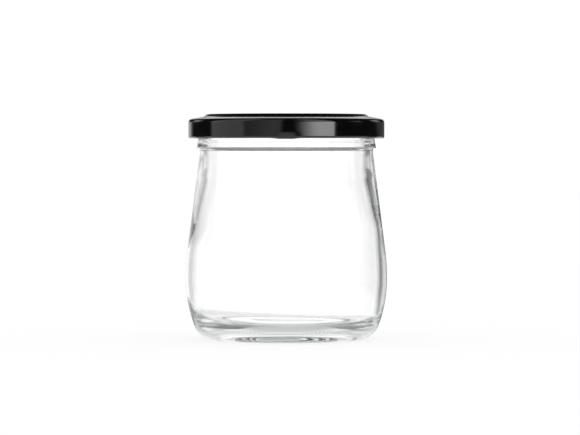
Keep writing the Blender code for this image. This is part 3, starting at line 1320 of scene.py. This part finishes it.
@dataclass(frozen=True)
class GlassBacking:
    """The white that the glass is seen against, with dark flags that draw its edges.

    Azimuths are in degrees from the far side, towards +X, and elevations in degrees above the horizon.

    Attributes:
        white: How bright it is where nothing darkens it.
        darkest: The least that is left of it.
        far_side: Azimuths of the far side, where the left and right flags stand.
        far_rise: Elevations over which the far side has no strips.
        flag_rise: Elevations of the left and right flags.
        left_flag: The fades at which the left flag begins and ends.
        left_depth: How dark the left flag is.
        right_flag: The fades at which the right flag begins and ends.
        right_depth: How dark the right flag is.
        veil: The fade at which a light veil begins on the right.
        veil_depth: How dark the veil is.
        sector: Half of the angle between the strips elsewhere.
        strip: How far from the middle of a sector a strip begins and is darkest.
        strip_depth: How dark the strips are.
        strip_rise: Elevations of the strips.
        upper: The elevations over which it darkens, twice, above.
        upper_dim: How much darker each of them makes it.
        table: The elevations over which it darkens, twice, towards the table.
        table_dim: How much darker each of them makes it.
    """

    white: float = 1.16
    darkest: float = 0.06
    far_side: Band = (-52.0, 60.0, 6.0)
    far_rise: Band = (-13.0, 45.0, 5.0)
    flag_rise: Band = (-13.0, 20.0, 5.0)
    left_flag: tuple[Fade, Fade] = ((-19.0, -36.0), (-50.0, -42.0))
    left_depth: float = 0.5
    right_flag: tuple[Fade, Fade] = ((15.0, 29.0), (51.0, 43.0))
    right_depth: float = 0.72
    veil: Fade = (3.0, 10.0)
    veil_depth: float = 0.1
    sector: float = 22.5
    strip: Fade = (15.0, 22.0)
    strip_depth: float = 0.5
    strip_rise: Band = (-50.0, 45.0, 6.0)
    upper: tuple[Fade, Fade] = ((10.0, 22.0), (17.0, 32.0))
    upper_dim: float = 0.24
    table: tuple[Fade, Fade] = ((-15.0, -25.0), (-27.0, -44.0))
    table_dim: float = 0.24

    def light(self, beyond: Field, rise: Field) -> Field:
        """The light that reaches the glass from a direction.

        Args:
            beyond: The direction's azimuth.
            rise: Its elevation.

        Returns:
            How bright it is.
        """
        far_side = beyond.between(*self.far_side)
        flags = beyond.hump(*self.left_flag) * self.left_depth
        flags = flags + beyond.hump(*self.right_flag) * self.right_depth
        flags = flags + beyond.climb(*self.veil) * self.veil_depth
        flags = flags * far_side * rise.between(*self.flag_rise)
        strips = beyond.math("WRAP", self.sector, -self.sector).size().climb(*self.strip) * self.strip_depth
        strips = strips * rise.between(*self.strip_rise)
        strips = strips * (far_side * rise.between(*self.far_rise)).less_from_one()
        upper = (rise.climb(*self.upper[0]) + rise.climb(*self.upper[1])) * self.upper_dim
        table = (rise.climb(*self.table[0]) + rise.climb(*self.table[1])) * self.table_dim
        return (flags + strips + upper + table).less_from_one().math("MAXIMUM", self.darkest) * self.white


@dataclass(frozen=True)
class MirroredRoom:
    """What polished surfaces mirror: a bright box on the right, a dim one on the left, and dark gaps.

    Azimuths are in degrees from the front, towards +X, and elevations in degrees above the horizon.

    Attributes:
        box_rise: The long fade over which the box on the right brightens.
        box_end: The short fade at which it ends.
        box_light: How bright it is.
        box_top: Elevations over which it dims upwards.
        box_top_share: How much of its light is left there.
        left_box: Azimuths of the box on the left.
        left_light: How bright it is.
        sheen: The fades at which a soft sheen beside it begins and ends.
        sheen_light: How bright the sheen is.
        left_panel: Azimuths of the dim panel beside it.
        panel_light: How bright that panel is.
        room_rise: Elevations of all of these.
        back_box: The fade at which the white behind the jar begins, on the left.
        back_light: How bright it is.
        back_gap: Azimuths of the dim white behind the jar, on the right.
        gap_light: How bright that is.
        back_rise: Elevations of both.
        sector: Half of the angle between the high panels.
        high_width: How far from the middle of a sector a high panel ends.
        high_side: Azimuths, to either side, over which the high panels begin.
        high_rise: The elevations over which they begin and end.
        high_light: How bright they are.
        table: The elevations over which the white table begins.
        gloom: How bright the gaps are.
    """

    box_rise: Fade = (8.0, 40.0)
    box_end: Fade = (59.0, 57.0)
    box_light: float = 5.4
    box_top: Fade = (14.0, 5.0)
    box_top_share: float = 0.25
    left_box: Band = (-98.0, -51.0, 4.0)
    left_light: float = 0.85
    sheen: tuple[Fade, Fade] = ((-51.0, -12.0), (-2.0, -8.0))
    sheen_light: float = 0.3
    left_panel: Band = (-51.0, -6.0, 3.0)
    panel_light: float = 0.28
    room_rise: Band = (-7.0, 72.0, 8.0)
    back_box: Fade = (-140.0, -156.0)
    back_light: float = 0.85
    back_gap: Band = (132.0, 172.0, 8.0)
    gap_light: float = 0.1
    back_rise: Band = (-7.0, 4.0, 4.0)
    sector: float = 22.5
    high_width: Fade = (13.0, 7.0)
    high_side: Fade = (75.0, 105.0)
    high_rise: tuple[Fade, Fade] = ((0.0, 17.0), (28.0, 21.0))
    high_light: float = 1.1
    table: Fade = (-5.0, -12.0)
    gloom: float = 0.02

    def light(self, front: Field, rise: Field) -> Field:
        """The light that a surface mirrors from a direction.

        Args:
            front: The direction's azimuth.
            rise: Its elevation.

        Returns:
            How bright it is.
        """
        top = rise.climb(*self.box_top) * (1.0 - self.box_top_share) + self.box_top_share
        room = front.hump(self.box_rise, self.box_end) * self.box_light * top
        room = room + front.between(*self.left_box) * self.left_light
        room = room + front.hump(*self.sheen) * self.sheen_light
        room = room + front.between(*self.left_panel) * self.panel_light
        back = front.climb(*self.back_box) * self.back_light
        back = back + front.between(*self.back_gap) * self.gap_light
        high = front.math("WRAP", self.sector, -self.sector).size().climb(*self.high_width)
        high = high * front.size().climb(*self.high_side) * rise.hump(*self.high_rise) * self.high_light
        level = room * rise.between(*self.room_rise) + back * rise.between(*self.back_rise)
        return level + high + rise.climb(*self.table) + self.gloom


@dataclass
class StudioLight:
    """Soft white light from all round, which clear glass and a mirroring cap each see in their own way.

    Attributes:
        backing: What the glass is seen against.
        room: What polished surfaces mirror.
    """

    backing: GlassBacking = GlassBacking()
    room: MirroredRoom = MirroredRoom()

    def build(self) -> None:
        """Makes the scene's world."""
        world = bpy.data.worlds.new("white_studio")
        world.use_nodes = True
        tree = world.node_tree
        bpy.context.scene.world = world
        direction = tree.nodes.new("ShaderNodeTexCoord").outputs["Generated"]
        parts = tree.nodes.new("ShaderNodeSeparateXYZ")
        tree.links.new(direction, parts.inputs[0])
        across, ahead, above = (Field(tree, socket) for socket in parts.outputs)
        to_degrees = math.degrees(1.0)
        front = across.math("ARCTAN2", ahead * -1.0) * to_degrees
        beyond = across.math("ARCTAN2", ahead) * to_degrees
        rise = above.math("ARCSINE") * to_degrees
        path = tree.nodes.new("ShaderNodeLightPath")
        through = Field(tree, path.outputs["Is Transmission Ray"])
        mirrored = Field(tree, path.outputs["Is Glossy Ray"]) * through.less_from_one()
        plain = through.less_from_one() * mirrored.less_from_one()
        light = self.backing.light(beyond, rise) * through + self.room.light(front, rise) * mirrored + plain
        light.feed(tree.nodes["Background"].inputs["Strength"])
        tree.nodes["Background"].inputs["Color"].default_value = (1.0, 1.0, 1.0, 1.0)


@dataclass
class StudioFloor:
    """The plain white surface that the jar stands on.

    Attributes:
        half_side: Half of its side.
        glow: How much of its white doesn't depend on the light that falls on it.
    """

    half_side: float = 4.0
    glow: float = 0.86

    def build(self) -> bpy.types.Object:
        """Builds the floor, out of sight of what mirrors it or is seen through glass."""
        mesh = bpy.data.meshes.new("studio_floor")
        near, far = -self.half_side, self.half_side
        corners = [(near, near, 0.0), (far, near, 0.0), (far, far, 0.0), (near, far, 0.0)]
        mesh.from_pydata(corners, [], [tuple(range(len(corners)))])
        material = bpy.data.materials.new("white_floor")
        material.use_nodes = True
        tree = material.node_tree
        tree.nodes.remove(tree.nodes["Principled BSDF"])
        glow = tree.nodes.new("ShaderNodeEmission")
        glow.inputs["Strength"].default_value = self.glow
        matt = tree.nodes.new("ShaderNodeBsdfDiffuse")
        white = 1.0 - self.glow
        matt.inputs["Color"].default_value = (white, white, white, 1.0)
        both = tree.nodes.new("ShaderNodeAddShader")
        tree.links.new(glow.outputs[0], both.inputs[0])
        tree.links.new(matt.outputs[0], both.inputs[1])
        tree.links.new(both.outputs[0], tree.nodes["Material Output"].inputs["Surface"])
        mesh.materials.append(material)
        floor = bpy.data.objects.new("studio_floor", mesh)
        floor.visible_glossy = False
        floor.visible_transmission = False
        bpy.context.scene.collection.objects.link(floor)
        return floor


@dataclass
class StudioCamera:
    """A long lens at the height of the neck, looking very slightly down.

    Attributes:
        distance: How far it stands in front of the jar's axis.
        height: How high it stands.
        aside: How far it stands to the right of the axis.
        pitch: How far it looks down, in degrees.
        lens: Its focal length, in millimetres.
        sensor: The width of its frame, in millimetres.
        nearest: The nearest that it sees.
        farthest: The farthest that it sees.
    """

    distance: float = 1.208
    height: float = 72.15 * MM
    aside: float = 1.4 * MM
    pitch: float = 1.244
    lens: float = 198.6
    sensor: float = 36.0
    nearest: float = 0.05
    farthest: float = 30.0

    def build(self) -> bpy.types.Object:
        """Makes the camera and gives it to the scene."""
        eye = bpy.data.cameras.new("studio_camera")
        eye.lens = self.lens
        eye.sensor_width = self.sensor
        eye.clip_start = self.nearest
        eye.clip_end = self.farthest
        camera = bpy.data.objects.new("studio_camera", eye)
        camera.location = (self.aside, -self.distance, self.height)
        camera.rotation_euler = (math.radians(90.0 - self.pitch), 0.0, 0.0)
        bpy.context.scene.collection.objects.link(camera)
        bpy.context.scene.camera = camera
        return camera


def report(piece: bpy.types.Object) -> None:
    """Logs a finished piece."""
    mesh = piece.data
    mesh.calc_loop_triangles()
    LOG.info("%s: %d points, %d triangles", piece.name, len(mesh.vertices), len(mesh.loop_triangles))


def let_light_through() -> None:
    """Lets light cross the thick base as often as it needs, because it is guided from side to side."""
    paths = bpy.context.scene.cycles
    paths.max_bounces = paths.transmission_bounces = paths.glossy_bounces = LIGHT_CROSSINGS


def main() -> None:
    """Builds the jar and its studio, in order."""
    logging.basicConfig(level=logging.INFO, format="%(name)s: %(message)s")
    bpy.context.scene.view_settings.view_transform = "Standard"
    let_light_through()
    StudioCamera().build()
    StudioLight().build()
    StudioFloor().build()
    JarGlass().build()
    LugCap().build()
    SealRing().build()


if __name__ == "__main__":
    main()
